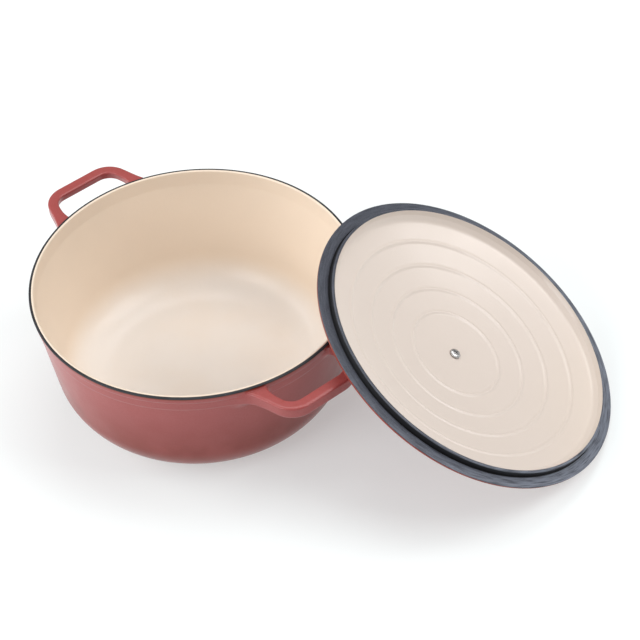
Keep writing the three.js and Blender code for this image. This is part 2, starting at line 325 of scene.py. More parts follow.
@dataclass(frozen=True)
class RoseEnamel:
    """Glossy rose enamel, darker towards the foot of the pot, partly its own glaze and partly
    painted shade on the lower wall, and rust red where it runs thin.
    """

    name: str
    edge_from: float
    edge_to: float
    placement: Optional[Matrix] = None
    slot: str = "rose_enamel"
    upper: Colour = (0.330, 0.071, 0.070, 1.0)
    # The colour at the foot, darkened partly as painted shade of the lower wall.
    lower: Colour = (0.174, 0.019, 0.009, 1.0)
    cloudy: Colour = (0.355, 0.083, 0.080, 1.0)
    thin: Colour = (0.230, 0.034, 0.014, 1.0)
    fade_from: float = 0.005
    fade_to: float = 0.105
    thin_share: float = 0.8
    roughness: float = 0.30
    cloud: Pattern = Pattern(26.0, 3.0, low=0.35, high=0.72, strength=0.4)
    grain: Pattern = Pattern(1300.0, low=0.30, high=0.70, strength=0.22)
    ragged: Pattern = Pattern(240.0, strength=0.0010)
    smear: Pattern = Pattern(60.0, strength=0.14)
    swell: Pattern = Pattern(38.0, 0.0, strength=0.0004)
    peel: Pattern = Pattern(420.0, 1.0, strength=0.00004)

    def material(self) -> bpy.types.Material:
        """Builds the enamel's material.

        Returns:
            The material.
        """
        surface = Surface(self.name)
        graph = surface.graph
        # Darker towards the foot by height: partly the glaze's own gradient, partly painted shade
        # low down near the floor.
        fade = graph.ramp(surface.height(), self.fade_from, self.fade_to)
        glaze = graph.mix(fade, self.lower, self.upper)
        glaze = graph.mix(self.cloud.mask(surface), glaze, self.cloudy)
        glaze = graph.mix(self.grain.mask(surface), glaze, self.lower)
        reach = self.ragged.strength
        height = surface.height(self.placement) + (self.ragged.noise(surface) * reach - reach / 2)
        thinned = graph.ramp(height, self.edge_from, self.edge_to) * self.thin_share
        surface.set(
            Base_Color=graph.mix(thinned, glaze, self.thin),
            Roughness=self.roughness + self.smear.noise(surface) * self.smear.strength,
            IOR=1.5,
            Specular_IOR_Level=0.15,
            Coat_Weight=0.4,
            Coat_Roughness=0.07,
        )
        surface.bump([self.swell.layer(surface), self.peel.layer(surface)])
        return surface.material


@dataclass(frozen=True)
class CreamEnamel:
    """Glossy cream enamel, paler on the pot's floor than on its walls: painted light on the floor
    and painted shade on the walls.
    """

    name: str
    body: Colour
    # The floor's paler colour, painted light against the darker, warmer walls, which are painted
    # shade.
    floor_lit_colour: Colour
    roughness: float
    slot: str = "cream_enamel"
    specked: Colour = (0.50, 0.38, 0.26, 1.0)
    floor_lit_from: float = 0.034
    floor_lit_to: float = 0.008
    cloud: Pattern = Pattern(18.0, 3.0, low=0.35, high=0.75, strength=0.25)
    speck: Pattern = Pattern(1100.0, 1.0, low=0.72, high=0.80, strength=0.2)
    smear: Pattern = Pattern(50.0, strength=0.16)
    swell: Pattern = Pattern(30.0, 1.0, strength=0.0006)
    peel: Pattern = Pattern(380.0, strength=0.00005)

    def material(self) -> bpy.types.Material:
        """Builds the enamel's material.

        Returns:
            The material.
        """
        surface = Surface(self.name)
        graph = surface.graph
        # Painted light and shade by height: the floor paler, the walls darker and warmer, as light
        # falls into the pot.
        floor_light = graph.ramp(surface.height(), self.floor_lit_from, self.floor_lit_to)
        floor_light = (floor_light * (1.0 - self.cloud.mask(surface))).clamped()
        glaze = graph.mix(floor_light, self.body, self.floor_lit_colour)
        surface.set(
            Base_Color=graph.mix(self.speck.mask(surface), glaze, self.specked),
            Roughness=self.roughness + self.smear.noise(surface) * self.smear.strength,
            IOR=1.5,
            Coat_Weight=0.25,
            Coat_Roughness=0.16,
        )
        surface.bump([self.swell.layer(surface), self.peel.layer(surface)])
        return surface.material


@dataclass(frozen=True)
class BareIron:
    """Matte dark iron with the fine sandy grain of its casting."""

    name: str = "bare_iron"
    slot: str = "bare_iron"
    dark: Colour = (0.012, 0.012, 0.015, 1.0)
    light: Colour = (0.030, 0.031, 0.037, 1.0)
    roughness: float = 0.42
    roughness_spread: float = 0.3
    sand: Pattern = Pattern(1500.0, 3.0, 0.6, strength=0.00012)
    lumps: Pattern = Pattern(320.0, strength=0.000096)
    cloud: Pattern = Pattern(60.0, 3.0, low=0.36, high=0.64, strength=0.5)

    def material(self) -> bpy.types.Material:
        """Builds the iron's material.

        Returns:
            The material.
        """
        surface = Surface(self.name)
        graph = surface.graph
        sand = self.sand.noise(surface)
        share = self.cloud.strength
        blotch = sand * (1 - share) + self.cloud.noise(surface) * share
        shade = graph.ramp(blotch, self.cloud.low, self.cloud.high)
        surface.set(
            Base_Color=graph.mix(shade, self.dark, self.light),
            Roughness=self.roughness + sand * self.roughness_spread,
            Metallic=0.25,
        )
        surface.bump([self.lumps.layer(surface), self.sand.layer(surface)])
        return surface.material


@dataclass(frozen=True)
class FlangeIron:
    """Slate grey iron of the lid's flange, with a painted highlight that makes it paler downhill
    and painted shade that makes it black on the lip's outer side.
    """

    placement: Matrix
    name: str = "lid_iron"
    slot: str = "lid_iron"
    # Painted shade: the black of the lip's outer side, which faces away from the light.
    painted_lip_shade: Colour = (0.010, 0.010, 0.012, 1.0)
    slate: Colour = (0.038, 0.041, 0.054, 1.0)
    pale: Colour = (0.090, 0.098, 0.125, 1.0)
    # Painted highlight: the paler colour of the flange's downhill side, standing in for reflected
    # light.
    painted_highlight: Colour = (0.200, 0.222, 0.272, 1.0)
    side_from: float = 0.1312
    side_to: float = 0.1327
    side_blur: float = 0.0003
    crest: float = -0.0050
    crest_blur: float = 0.0006
    roughness: float = 0.34
    roughness_spread: float = 0.3
    brush_across: float = 900.0
    brush_round: float = 8.0
    streak_share: float = 0.4
    shade_from: float = 0.36
    shade_to: float = 0.64
    # Where along the streaks the painted highlight shows, and how strong it is.
    highlight_from: float = 0.25
    highlight_to: float = 0.65
    highlight_share: float = 0.75
    sand: Pattern = Pattern(1500.0, 3.0, 0.6, strength=0.00014)
    lumps: Pattern = Pattern(320.0, strength=0.00012)

    def material(self) -> bpy.types.Material:
        """Builds the iron's material.

        Returns:
            The material.
        """
        surface = Surface(self.name)
        graph = surface.graph
        radius, angle, up = surface.polar(self.placement)
        inputs = {
            "X": radius * self.brush_across,
            "Y": angle * self.brush_round,
            "Z": up * self.brush_across,
        }
        brushed = graph.out(graph.node("ShaderNodeCombineXYZ", None, inputs))
        streaks = graph.noise(brushed, 1.0, 2.0)
        sand = self.sand.noise(surface)
        blotch = sand * (1 - self.streak_share) + streaks * self.streak_share
        iron = graph.mix(graph.ramp(blotch, self.shade_from, self.shade_to), self.slate, self.pale)
        # Painted highlight: the flange made paler downhill along its streaks, as reflected light.
        downhill = graph.ramp(graph.math("COSINE", angle), -1.0, 1.0)
        painted_highlight_mask = downhill * graph.ramp(streaks, self.highlight_from, self.highlight_to) * self.highlight_share
        iron = graph.mix(painted_highlight_mask, iron, self.painted_highlight)
        # Painted shade: black on the lip's outer side between these radii, short of its crest.
        side = graph.ramp(radius, self.side_from, self.side_from + self.side_blur)
        side = side * graph.ramp(radius, self.side_to + self.side_blur, self.side_to)
        side = side * graph.ramp(up, self.crest, self.crest + self.crest_blur)
        surface.set(
            Base_Color=graph.mix(side, iron, self.painted_lip_shade),
            Roughness=self.roughness + sand * self.roughness_spread,
            Metallic=0.3,
        )
        surface.bump([self.lumps.layer(surface), self.sand.layer(surface)])
        return surface.material


@dataclass(frozen=True)
class TurnedSteel:
    """Stainless steel turned on a lathe, with fine rings round its own axis."""

    name: str
    slot: str
    placement: Matrix
    tint: Colour = (0.62, 0.61, 0.60, 1.0)
    roughness: float = 0.22
    ring_pitch: float = 0.00035
    smudged: Colour = (0.52, 0.51, 0.50, 1.0)
    ring_roughness: float = 0.12
    ring_depth: float = 0.00001
    smudge: Pattern = Pattern(90.0, 3.0, strength=0.1)

    def material(self) -> bpy.types.Material:
        """Builds the steel's material.

        Returns:
            The material.
        """
        surface = Surface(self.name)
        graph = surface.graph
        radius, _, up = surface.polar(self.placement)
        rings_in_metre = 1.0 / self.ring_pitch
        inputs = {"X": radius * rings_in_metre, "Y": up * rings_in_metre}
        rings = graph.noise(graph.out(graph.node("ShaderNodeCombineXYZ", None, inputs)), 1.0, 3.0)
        smudge = self.smudge.noise(surface)
        dulled = rings * self.ring_roughness + smudge * self.smudge.strength
        surface.set(
            Base_Color=graph.mix(smudge, self.tint, self.smudged),
            Roughness=self.roughness + dulled,
            Metallic=1.0,
        )
        surface.bump([(rings, self.ring_depth)])
        return surface.material


# ------------------------------------------------------------------------------ outlines


@dataclass(frozen=True)
class Corner:
    """One corner of an outline, and the radius that rounds it."""

    r: float
    z: float
    rounding: float = 0.0


class Outline:
    """Outlines of turned pieces, as points (radius, height)."""

    ARC_STEPS = 7
    LONGEST_REACH = 0.48
    STRAIGHT = 0.01

    @classmethod
    def rounded(cls, corners: Sequence[Corner], step: float) -> list[Vector]:
        """Joins corners with straight runs and rounds them.

        Args:
            corners: The corners in order.
            step: The longest straight run between two points.

        Returns:
            The outline's points.
        """
        points: list[Vector] = []
        count = len(corners)
        for i, corner in enumerate(corners):
            here = Vector((corner.r, corner.z))
            if corner.rounding <= 0.0 or i in (0, count - 1):
                points.append(here)
                continue
            back = Vector((corners[i - 1].r, corners[i - 1].z)) - here
            ahead = Vector((corners[i + 1].r, corners[i + 1].z)) - here
            points.extend(cls.corner_arc(here, back, ahead, corner.rounding))
        return cls.filled(points, step)

    @classmethod
    def corner_arc(
        cls, corner: Vector, back: Vector, ahead: Vector, radius: float
    ) -> list[Vector]:
        """Points of the arc that rounds one corner.

        Args:
            corner: The corner itself.
            back: The way to the corner before.
            ahead: The way to the corner after.
            radius: The arc's radius, cut down where the runs are too short.

        Returns:
            The arc's points, first to last.
        """
        u = back.normalized()
        v = ahead.normalized()
        half = math.acos(max(-1.0, min(1.0, u.dot(v)))) / 2
        if half > math.pi / 2 - cls.STRAIGHT:
            return [corner]
        longest = cls.LONGEST_REACH * min(back.length, ahead.length)
        reach = min(radius / math.tan(half), longest)
        radius = reach * math.tan(half)
        centre = corner + (u + v).normalized() * (radius / math.sin(half))
        start = corner + u * reach - centre
        end = corner + v * reach - centre
        sweep = math.atan2(start.x * end.y - start.y * end.x, start.dot(end))
        points = []
        for i in range(cls.ARC_STEPS + 1):
            a = sweep * i / cls.ARC_STEPS
            turned = Vector((
                start.x * math.cos(a) - start.y * math.sin(a),
                start.x * math.sin(a) + start.y * math.cos(a),
            ))
            points.append(centre + turned)
        return points

    @staticmethod
    def filled(points: Sequence[Vector], step: float) -> list[Vector]:
        """Adds points to runs that are longer than a step.

        Args:
            points: The outline's points.
            step: The longest run that is left.

        Returns:
            The outline's points with the added ones between them.
        """
        filled = [points[0]]
        for a, b in zip(points, points[1:]):
            parts = max(1, math.ceil((b - a).length / step))
            filled.extend(a.lerp(b, k / parts) for k in range(1, parts + 1))
        return filled

    @staticmethod
    def arc(
        r: float, z: float, radius: float, start: float, end: float, steps: int
    ) -> list[Vector]:
        """Points on an arc about a centre.

        Args:
            r: The centre's radius.
            z: The centre's height.
            radius: The arc's own radius.
            start: The first angle, in radians.
            end: The last angle, in radians.
            steps: The number of equal steps.

        Returns:
            The points, first to last.
        """
        angles = (start + (end - start) * i / steps for i in range(steps + 1))
        return [Vector((r + radius * math.cos(a), z + radius * math.sin(a))) for a in angles]


# ------------------------------------------------------------------------------ making meshes


class Lathe:
    """A Geometry Nodes tree that turns an outline about the Z axis."""

    JOIN_DISTANCE = 2e-7

    def __init__(self) -> None:
        """Builds the tree and notes its sockets' identifiers."""
        self.tree = bpy.data.node_groups.new("turned_outline", "GeometryNodeTree")
        face = self.tree.interface
        face.new_socket("Outline", in_out="INPUT", socket_type="NodeSocketGeometry")
        segments = face.new_socket("Segments", in_out="INPUT", socket_type="NodeSocketInt")
        join = face.new_socket("Join distance", in_out="INPUT", socket_type="NodeSocketFloat")
        face.new_socket("Finish", in_out="INPUT", socket_type="NodeSocketMaterial")
        face.new_socket("Piece", in_out="OUTPUT", socket_type="NodeSocketGeometry")
        sockets = {"segments": segments, "join": join}
        self.keys = {name: socket.identifier for name, socket in sockets.items()}
        self._fill()

    def _fill(self) -> None:
        """Adds the tree's nodes."""
        graph = Graph(self.tree)
        start = graph.node("NodeGroupInput")
        end = graph.node("NodeGroupOutput")
        outline = start.outputs["Outline"]
        segments = graph.out(start, "Segments")
        size = graph.node("GeometryNodeAttributeDomainSize", None, {"Geometry": outline})
        rows = segments + 1.0
        grid_inputs = {"Vertices X": graph.out(size, "Point Count"), "Vertices Y": rows}
        grid = graph.node("GeometryNodeMeshGrid", None, grid_inputs)
        index = graph.out(graph.node("GeometryNodeInputIndex"))
        column = ((index + 0.5) / rows).floor()
        row = index - column * rows
        place = graph.out(graph.node("GeometryNodeInputPosition"))
        sample_settings = {"data_type": "FLOAT_VECTOR", "domain": "POINT"}
        sample_inputs = {"Geometry": outline, "Value": place, "Index": column}
        sample = graph.node("GeometryNodeSampleIndex", sample_settings, sample_inputs)
        angle = row * (2 * math.pi) / segments
        spun_inputs = {"Vector": graph.out(sample), "Angle": angle}
        spun = graph.node("ShaderNodeVectorRotate", {"rotation_type": "Z_AXIS"}, spun_inputs)
        set_inputs = {"Geometry": graph.out(grid, "Mesh"), "Position": graph.out(spun)}
        turned = graph.node("GeometryNodeSetPosition", None, set_inputs)
        merge_inputs = {"Geometry": graph.out(turned), "Distance": start.outputs["Join distance"]}
        merged = graph.node("GeometryNodeMergeByDistance", None, merge_inputs)
        real = graph.node("GeometryNodeRealizeInstances", None, {"Geometry": graph.out(merged)})
        dress_inputs = {"Geometry": graph.out(real), "Material": start.outputs["Finish"]}
        dressed = graph.node("GeometryNodeSetMaterial", None, dress_inputs)
        graph.feed(end.inputs["Piece"], graph.out(dressed))

    def turn(
        self,
        name: str,
        outline: Sequence[Vector],
        segments: int,
        placement: Optional[Matrix] = None,
    ) -> bpy.types.Object:
        """Turns an outline into a plain mesh object.

        Args:
            name: The object's name.
            outline: The outline's points (radius, height).
            segments: The number of steps round the axis.
            placement: Where the turned mesh stands.

        Returns:
            An object at the origin with its place in its mesh.
        """
        wire = bpy.data.meshes.new(name + "_outline")
        edges = [(i, i + 1) for i in range(len(outline) - 1)]
        wire.from_pydata([(p.x, 0.0, p.y) for p in outline], edges, [])
        source = bpy.data.objects.new(name + "_outline", wire)
        bpy.context.scene.collection.objects.link(source)
        modifier = source.modifiers.new("turn", "NODES")
        modifier.node_group = self.tree
        modifier[self.keys["segments"]] = segments
        modifier[self.keys["join"]] = self.JOIN_DISTANCE
        mesh = Workshop.baked(source, name)
        bpy.data.objects.remove(source)
        bpy.data.meshes.remove(wire)
        if placement:
            mesh.transform(placement)
        return Workshop.finished(name, mesh)


class Workshop:
    """Steps that several pieces share."""

    SMOOTH_ANGLE = math.radians(42)
    WELD_DISTANCE = 1e-7
    SPECK_SIZE = 1e-8

    @staticmethod
    def baked(source: bpy.types.Object, name: str) -> bpy.types.Mesh:
        """Applies an object's modifiers.

        Args:
            source: The object with its modifiers.
            name: The name of the new mesh.

        Returns:
            The plain mesh.
        """
        view = bpy.context.evaluated_depsgraph_get()
        view.update()
        mesh = bpy.data.meshes.new_from_object(source.evaluated_get(view), depsgraph=view)
        mesh.name = name
        return mesh

    @classmethod
    def finished(cls, name: str, mesh: bpy.types.Mesh) -> bpy.types.Object:
        """Faces a closed mesh outward, shades it smooth and puts it in an object.

        Args:
            name: The object's name.
            mesh: The closed mesh.

        Returns:
            The object, linked to the scene.
        """
        work = bmesh.new()
        work.from_mesh(mesh)
        bmesh.ops.remove_doubles(work, verts=work.verts, dist=cls.WELD_DISTANCE)
        bmesh.ops.dissolve_degenerate(work, dist=cls.SPECK_SIZE, edges=work.edges)
        bmesh.ops.recalc_face_normals(work, faces=work.faces)
        if work.calc_volume(signed=True) < 0:
            bmesh.ops.reverse_faces(work, faces=work.faces)
        work.to_mesh(mesh)
        work.free()
        cls.smooth(mesh)
        made = bpy.data.objects.new(name, mesh)
        bpy.context.scene.collection.objects.link(made)
        return made

    @classmethod
    def smooth(cls, mesh: bpy.types.Mesh) -> None:
        """Shades a mesh smooth, with sharp edges kept sharp."""
        mesh.polygons.foreach_set("use_smooth", [True] * len(mesh.polygons))
        mesh.set_sharp_from_angle(angle=cls.SMOOTH_ANGLE)

    @classmethod
    def combine(
        cls,
        name: str,
        base: bpy.types.Object,
        tools: Sequence[bpy.types.Object],
        operation: str,
    ) -> bpy.types.Object:
        """Joins tools to a solid, or cuts it with them.

        Args:
            name: The new object's name.
            base: The solid that is changed. It is removed.
            tools: The solids that join or cut it. They are removed.
            operation: UNION or DIFFERENCE.

        Returns:
            The combined solid.
        """
        for tool in tools:
            modifier = base.modifiers.new(tool.name, "BOOLEAN")
            modifier.operation = operation
            modifier.solver = "EXACT"
            modifier.object = tool
        mesh = cls.baked(base, name)
        for spent in [base, *tools]:
            bpy.data.objects.remove(spent)
        return cls.finished(name, mesh)

    @staticmethod
    def dress(piece: bpy.types.Object, finish: bpy.types.Material, slot: str) -> None:
        """Gives a piece one material.

        Args:
            piece: The piece.
            finish: Its material.
            slot: The record's material slot. It is not used.
        """
        piece.data.materials.clear()
        piece.data.materials.append(finish)


class Body(Enum):
    """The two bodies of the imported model."""

    POT = "pot"
    LID = "lid"


# ------------------------------------------------------------------------------ pot


@dataclass
class LoopHandle:
    """One cast loop handle: two splayed legs, two round corners and a straight bar."""

    side: int
    top: float
    centre_reach: float = 0.1676
    corner: float = 0.0170
    corner_height: float = 0.0184
    root: float = 0.1190
    bar_width: float = 0.0102
    leg_slope: float = 0.3
    leg_curve: float = 5.5
    leg_width: float = 0.0096
    foot_extra: float = 0.0280
    foot_depth: float = 0.012
    foot_splay: float = 0.004
    outer_depth: float = 0.0138
    inner_depth: float = 0.0074
    outer_lean: float = 0.0004
    inner_lean: float = 0.0014
    roundings: tuple[float, ...] = (0.0016, 0.0024, 0.0026, 0.0014)
    side_steps: int = 4
    leg_steps: int = 20
    corner_steps: int = 14
    bar_steps: int = 12

    def stations(self) -> list[tuple[Vector, Vector, float]]:
        """Places along the handle's middle line.

        Returns:
            For each place: the point, the way outward across the handle, and its width.
        """
        corner_x = self.centre_reach - self.corner
        end = math.atan2(1.0, self.leg_slope)
        start_x = corner_x + self.corner * math.cos(end)
        start_y = self.corner_height + self.corner * math.sin(end)
        run = start_x - self.root
        half: list[tuple[Vector, Vector, float]] = []
        for i in range(self.leg_steps):
            down = run * (1 - i / self.leg_steps)
            y = start_y + self.leg_slope * down - self.leg_curve * down * down
            out = Vector((self.leg_slope - 2 * self.leg_curve * down, 1.0)).normalized()
            width = self.leg_width + self.foot_extra * (down / run) ** 3
            half.append((Vector((start_x - down, y)), out, width))
        for i in range(self.corner_steps + 1):
            t = i / self.corner_steps
            out = Vector((math.cos(end * (1 - t)), math.sin(end * (1 - t))))
            place = Vector((corner_x, self.corner_height)) + out * self.corner
            half.append((place, out, self.leg_width + (self.bar_width - self.leg_width) * t))
        bar = []
        for i in range(1, self.bar_steps):
            y = self.corner_height * (1 - 2 * i / self.bar_steps)
            bar.append((Vector((self.centre_reach, y)), Vector((1.0, 0.0)), self.bar_width))
        flip = [(Vector((p.x, -p.y)), Vector((n.x, -n.y)), w) for p, n, w in reversed(half)]
        return half + bar + flip

    def section(self, width: float, inset: float) -> list[Vector]:
        """The handle's rounded section: a flat top, a deep outer side and a shallow inner one.

        Args:
            width: The width of the section's top.
            inset: How far the whole section is moved inward.

        Returns:
            Points (across, up), once round.
        """
        half = width / 2 - inset
        corners = [
            Vector((half, -inset)),
            Vector((half - self.outer_lean, inset - self.outer_depth)),
            Vector((self.inner_lean - half, inset - self.inner_depth)),
            Vector((-half, -inset)),
        ]
        count = len(corners)
        arcs = [
            Outline.corner_arc(
                here, corners[i - 1] - here, corners[(i + 1) % count] - here, self.roundings[i]
            )
            for i, here in enumerate(corners)
        ]
        points: list[Vector] = []
        for i, arc in enumerate(arcs):
            ahead = arcs[(i + 1) % count][0]
            points.extend(arc)
            for k in range(1, self.side_steps):
                points.append(arc[-1].lerp(ahead, k / self.side_steps))
        return points

    def solid(self, name: str, inset: float) -> bpy.types.Object:
        """Sweeps the section along the handle.

        Args:
            name: The object's name.
            inset: How far the surface lies under the enamel's.

        Returns:
            A closed solid whose ends lie inside the wall.
        """
        verts: list[Vector] = []
        for place, out, width in self.stations():
            for p in self.section(width, inset):
                at = place + out * p.x
                verts.append(Vector((self.side * at.x, self.side * at.y, self.top + p.y)))
        around = len(self.section(self.bar_width, inset))
        count = len(verts) // around
        faces = []
        for i in range(count - 1):
            for j in range(around):
                k = (j + 1) % around
                a, b = i * around, (i + 1) * around
                faces.append((a + j, a + k, b + k, b + j))
        faces.append(tuple(range(around)))
        faces.append(tuple(range(len(verts) - around, len(verts))))
        mesh = bpy.data.meshes.new(name)
        mesh.from_pydata([tuple(v) for v in verts], [], faces)
        return Workshop.finished(name, mesh)

    def feet(self) -> list[Vector]:
        """Where the two legs meet the wall.

        Returns:
            A point in the middle of each foot.
        """
        x = self.side * (self.root + self.foot_depth)
        y = self.corner_height + self.corner + self.foot_splay
        z = self.top - self.outer_depth / 2
        return [Vector((x, y, z)), Vector((x, -y, z))]


@dataclass
class Pot:
    """The pot: one iron casting with two handles, coated rose outside and cream inside."""

    lathe: Lathe
    height: float
    rim_radius: float
    enamel: float = 0.00045
    clearance: float = 0.00015
    taper: float = 0.1375
    heel_centre: float = 0.0843
    heel_radius: float = 0.0440
    heel_sweep: float = 1.2
    heel_steps: int = 40
    heel_inset: float = 0.004
    base_edge_angle: float = 1.31
    wall: float = 0.0041
    floor_extra: float = 0.0004
    bead: float = 0.0006
    bead_height: float = 0.0075
    bead_run: float = 0.0016
    ridge_depth: float = 0.0155
    ridge_step: float = 0.0004
    ridge_run: float = 0.0012
    bare_depth: float = 0.0017
    bare_width: float = 0.0020
    segments: int = 240
    plug_segments: int = 96
    shortest_share: float = 0.3
    coarse: float = 0.0040
    skin_step: float = 0.0028
    fine: float = 0.0006
    rim_step: float = 0.0010
    handle_drop: float = 0.0034
    shoulder: float = 0.0016
    fillet: float = 0.0075
    crease: float = 0.0012
    deepening: float = 0.0050
    upright: float = 0.9
    root_radius: float = 0.110
    wall_start: float = 0.050
    foot_reaches: tuple[float, ...] = (0.031, 0.025)
    smoothing_rounds: int = 7
    settling_moves: int = 3
    band_share: float = 1.3
    least_slope: float = 0.2
    crease_drop: float = 0.0004
    edge_guard: float = 1e-5
    touching: float = 2e-5
    level: float = 1e-6
    handles: list[LoopHandle] = field(default_factory=list)

    def __post_init__(self) -> None:
        """Sets the two handles on the wall."""
        top = self.height - self.handle_drop
        self.handles = [LoopHandle(side, top) for side in (1, -1)]

    @staticmethod
    def _smooth(t: float) -> float:
        """A smooth step from 0 to 1."""
        s = min(1.0, max(0.0, t))
        return s * s * (3 - 2 * s)

    def wall_radius(self, z: float) -> float:
        """Outside radius of the enamelled wall.

        Args:
            z: The height.

        Returns:
            The radius there, with the ridge line and the rim's bead on it.
        """
        down = self.height - z
        draft = self.rim_radius - self.bead - self.ridge_step - self.taper * down
        ridge_end = self.ridge_depth + self.ridge_run
        ridge = self.ridge_step * self._smooth((ridge_end - down) / self.ridge_run)
        bead = self.bead * self._smooth((self.bead_height - down) / self.bead_run)
        return draft + ridge + bead

    @property
    def wall_angle(self) -> float:
        """Angle at which the heel's arc runs into the wall."""
        return -math.atan(self.taper)

    def outside(self, inset: float, top: float, step: float) -> list[Vector]:
        """The outside from the base pad's edge up to a height.

        Args:
            inset: How far the surface lies under the enamel's.
            top: The height at which it ends.
            step: The spacing of its points.

        Returns:
            The outline's points, lowest first.
        """
        foot = self.heel_radius * (1 + math.sin(self.wall_angle))
        reach = (self.wall_radius(foot) - self.heel_centre) / math.cos(self.wall_angle)
        steps = max(6, round(self.heel_radius * self.heel_sweep / step))
        radius = self.heel_radius - inset
        run = Outline.arc(
            0.0, self.heel_radius, radius, -self.base_edge_angle, self.wall_angle, steps
        )
        for p in run:
            p.x = self.heel_centre + p.x * reach / self.heel_radius
        z = run[-1].y + step
        while z < top - step * self.shortest_share:
            in_detail = self.height - z < self.ridge_depth + self.coarse
            run.append(Vector((self.wall_radius(z) - inset, z)))
            z += min(step, self.fine) if in_detail else step
        run.append(Vector((self.wall_radius(top) - inset, top)))
        return run

    def inside(self, grow: float) -> list[Vector]:
        """The inside from the middle of the floor up to the rim, grown outward.

        Args:
            grow: How far the surface lies under the inner enamel's.

        Returns:
            The outline's points, from the axis up to just under the rim.
        """
        floor = self.wall - grow + self.floor_extra
        centre = self.heel_centre - self.heel_inset
        radius = self.heel_radius - floor
        points = [Vector((0.0, floor)), Vector((centre * 0.5, floor))]
        points += Outline.arc(
            centre, self.heel_radius, radius, -math.pi / 2, self.wall_angle, self.heel_steps
        )
        rim = self.rim_radius - self.wall + grow
        corners = [
            Corner(points[-1].x, points[-1].y),
            Corner(rim - 0.0007, self.height - 0.014, 0.010),
            Corner(rim - 0.0001, self.height - 0.003, 0.010),
            Corner(rim, self.height - self.shoulder - grow),
        ]
        wall = Outline.rounded(corners, self.coarse)
        return Outline.filled(points, self.coarse) + wall[1:]

    def make_casting(self) -> bpy.types.Object:
        """The iron itself: dark rim edge, base pad, and what the enamel covers.

        Returns:
            The casting.
        """
        under = self.enamel + self.clearance
        edge = self.height - self.bare_depth + self.clearance
        pad = Outline.arc(self.heel_centre, self.heel_radius, self.heel_radius,
                          -math.pi / 2, -self.base_edge_angle - 0.03, 5)
        rim = self.rim_radius
        crest = self.height
        crown = Outline.rounded([
            Corner(self.wall_radius(edge) - under, edge),
            Corner(self.wall_radius(edge), edge, 0.0002),
            Corner(rim + 0.0001, crest - 0.0004, 0.0016),
            Corner(rim - self.bare_width, crest, 0.0004),
            Corner(rim - self.bare_width, crest - under, 0.0001),
            Corner(rim - self.wall + under, crest - under),
        ], self.rim_step)
        outer = self.outside(under, edge, self.coarse)
        inner = list(reversed(self.inside(under)))
        outline = [Vector((0.0, 0.0)), *pad, *outer[:-1], *crown, *inner]
        body = self.lathe.turn("pot_core", outline, self.segments)
        cores = [h.solid(f"handle_core_{h.side}", under) for h in self.handles]
        cores = [self._trimmed(core, under) for core in cores]
        return Workshop.combine("pot_iron", body, cores, "UNION")

    def _trimmed(self, core: bpy.types.Object, under: float) -> bpy.types.Object:
        """Cuts off what a handle's ends would leave standing inside the pot.

        Args:
            core: The handle's iron.
            under: How far the iron lies under the enamel's surface.

        Returns:
            The handle's iron without what reaches inside.
        """
        rim = self.rim_radius - self.wall + under
        low, high = 0.070, self.height + 0.001
        plug = Outline.rounded([
            Corner(0.0, low),
            Corner(rim - 0.0045, low),
            Corner(rim + 0.0012, high),
            Corner(0.0, high),
        ], 0.01)
        tool = self.lathe.turn(core.name + "_plug", plug, self.plug_segments)
        return Workshop.combine(core.name, core, [tool], "DIFFERENCE")

    def make_outer_enamel(self) -> bpy.types.Object:
        """The rose coat on the wall and on both handles, run together with soft fillets.

        Returns:
            The coat.
        """
        top = self.height - self.bare_depth
        run = self.outside(0.0, top, self.skin_step)
        outline = [Vector((0.0, run[0].y)), *run, Vector((0.0, top))]
        body = self.lathe.turn("pot_skin", outline, self.segments)
        self._refine(body.data, run[0].y, top)
        loops = [h.solid(f"handle_{h.side}", 0.0) for h in self.handles]
        shapes = [
            BVHTree.FromPolygons(
                [v.co for v in loop.data.vertices], [p.vertices for p in loop.data.polygons]
            )
            for loop in loops
        ]
        joined = Workshop.combine("pot_skin", body, loops, "UNION")
        self._open(joined.data, run[0].y, top)
        self._soften(joined.data, shapes, top)
        coat = joined.modifiers.new("coat", "SOLIDIFY")
        coat.thickness = self.enamel
        coat.offset = -1.0
        coat.use_even_offset = False
        mesh = Workshop.baked(joined, "pot_rose_enamel")
        bpy.data.objects.remove(joined)
        return Workshop.finished("pot_rose_enamel", mesh)

    def _refine(self, mesh: bpy.types.Mesh, bottom: float, top: float) -> None:
        """Divides the wall finely where a handle's foot meets it.

        Args:
            mesh: The closed skin of the wall.
            bottom: The height at which the skin starts.
            top: The height at which it ends.
        """
        feet = [foot for handle in self.handles for foot in handle.feet()]
        work = bmesh.new()
        work.from_mesh(mesh)
        for reach in self.foot_reaches:
            near = [
                f for f in work.faces
                if abs(f.normal.z) < self.upright
                and min((f.calc_center_median() - foot).length for foot in feet) < reach
            ]
            edges = list({e for f in near for e in f.edges})
            inner = set(near)
            edges = [e for e in edges if all(f in inner for f in e.link_faces)]
            bmesh.ops.subdivide_edges(work, edges=edges, cuts=1, use_grid_fill=True)
        bmesh.ops.triangulate(work, faces=[f for f in work.faces if len(f.verts) > 4])
        for v in work.verts:
            flat = math.hypot(v.co.x, v.co.y)
            in_wall = bottom + self.wall_start < v.co.z < top - self.level
            if flat > self.root_radius and in_wall:
                goal = self.wall_radius(v.co.z) / flat
                v.co.x *= goal
                v.co.y *= goal
        work.to_mesh(mesh)
        work.free()

    def _open(self, mesh: bpy.types.Mesh, bottom: float, top: float) -> None:
        """Removes the two flat caps that closed the skin for joining.

        Args:
            mesh: The joined skin.
            bottom: The height of the lower cap.
            top: The height of the upper cap.
        """
        work = bmesh.new()
        work.from_mesh(mesh)
        caps = [
            f for f in work.faces
            if all(abs(v.co.z - top) < self.level for v in f.verts)
            or all(abs(v.co.z - bottom) < self.level for v in f.verts)
        ]
        bmesh.ops.delete(work, geom=caps, context="FACES")
        work.to_mesh(mesh)
        work.free()

